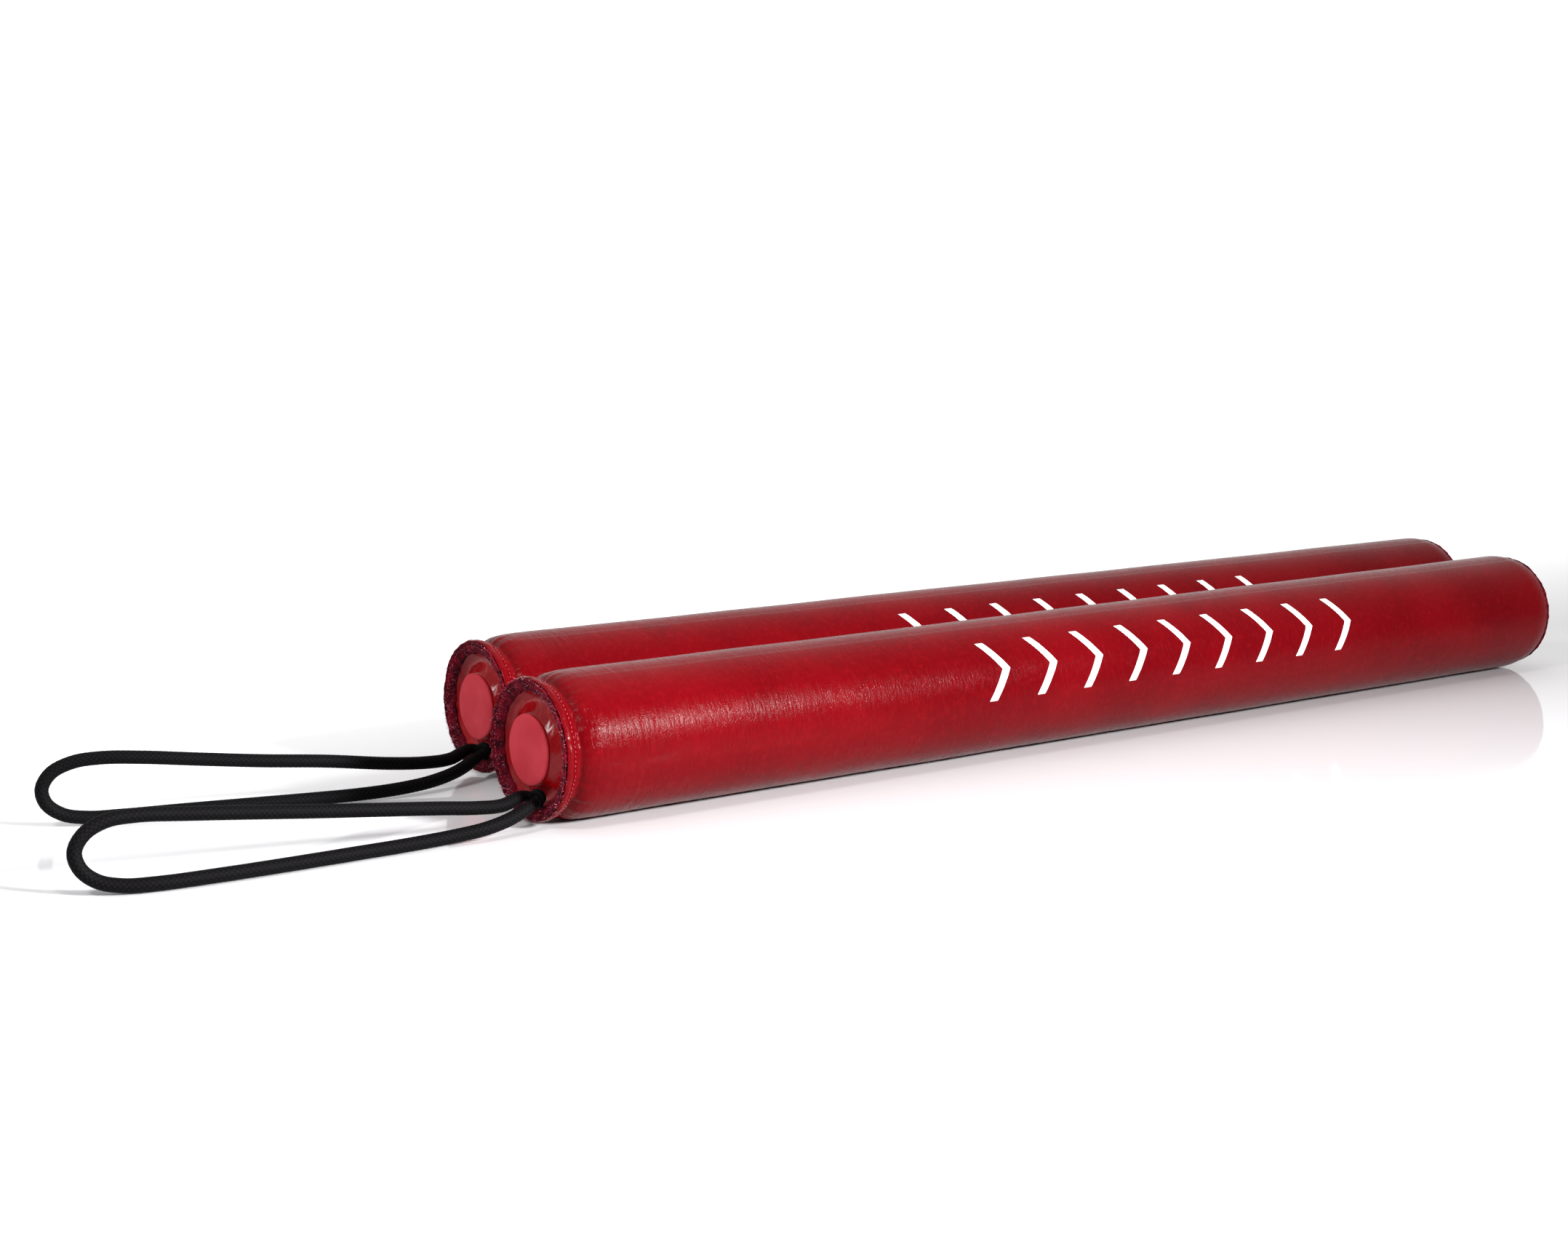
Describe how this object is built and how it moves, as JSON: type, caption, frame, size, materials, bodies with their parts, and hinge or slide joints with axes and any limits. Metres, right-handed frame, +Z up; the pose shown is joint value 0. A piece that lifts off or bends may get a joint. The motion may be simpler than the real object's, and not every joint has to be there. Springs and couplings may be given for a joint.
{
  "type": "padded training sticks",
  "caption": "Pair of red leather-covered padded training sticks with sewn end caps and black cord wrist loops.",
  "frame": {"origin": "on the surface that the sticks lie on, under the middle of the two sticks without their loops", "axes": "+Z up; +X along the front stick, from its wrist end to its striking end; +Y across, from the front stick to the rear one"},
  "size_m": [0.7847, 0.1408, 0.056],
  "materials": {
    "red_leather": "satin",
    "matt_leather": "matte",
    "thread": "matte",
    "cord": "matte",
    "foam": "matte",
    "tube": "matte",
    "plug": "matte",
    "washer": "satin"
  },
  "bodies": {
    "front_stick": {"front_core_tube": "tube", "front_wrist_plug": "plug", "front_tip_plug": "plug", "front_foam_sleeve": "foam", "front_wrist_pad": "foam", "front_tip_pad": "foam", "front_cover": "red_leather", "front_wrist_cap": "red_leather", "front_wrist_disc": "matt_leather", "front_tip_cap": "red_leather", "front_wrist_seam_thread": "thread", "front_tip_seam_thread": "thread", "front_cord_knot": "cord", "front_anchor_washer": "washer", "front_anchor_stopper": "cord"},
    "front_loop": {"front_wrist_loop": "cord"},
    "rear_stick": {"rear_core_tube": "tube", "rear_wrist_plug": "plug", "rear_tip_plug": "plug", "rear_foam_sleeve": "foam", "rear_wrist_pad": "foam", "rear_tip_pad": "foam", "rear_cover": "red_leather", "rear_wrist_cap": "red_leather", "rear_wrist_disc": "matt_leather", "rear_tip_cap": "red_leather", "rear_wrist_seam_thread": "thread", "rear_tip_seam_thread": "thread", "rear_cord_knot": "cord", "rear_anchor_washer": "washer", "rear_anchor_stopper": "cord"},
    "rear_loop": {"rear_wrist_loop": "cord"}
  },
  "joints": [
    {"name": "rear_stick_lift", "type": "slide", "parent": "front_stick", "child": "rear_stick", "axis": [0, 0, 1], "range_m": [0, 0.15]},
    {"name": "front_loop_swing", "type": "hinge", "parent": "front_stick", "child": "front_loop", "pos_m": [-0.30404, -0.04985, 0.0113], "axis": [0, 1, 0], "range_deg": [-45, 45]},
    {"name": "rear_loop_swing", "type": "hinge", "parent": "rear_stick", "child": "rear_loop", "pos_m": [-0.27719, 0.03511, 0.0113], "axis": [0.0209, 0.9998, 0], "range_deg": [-45, 45]}
  ]
}
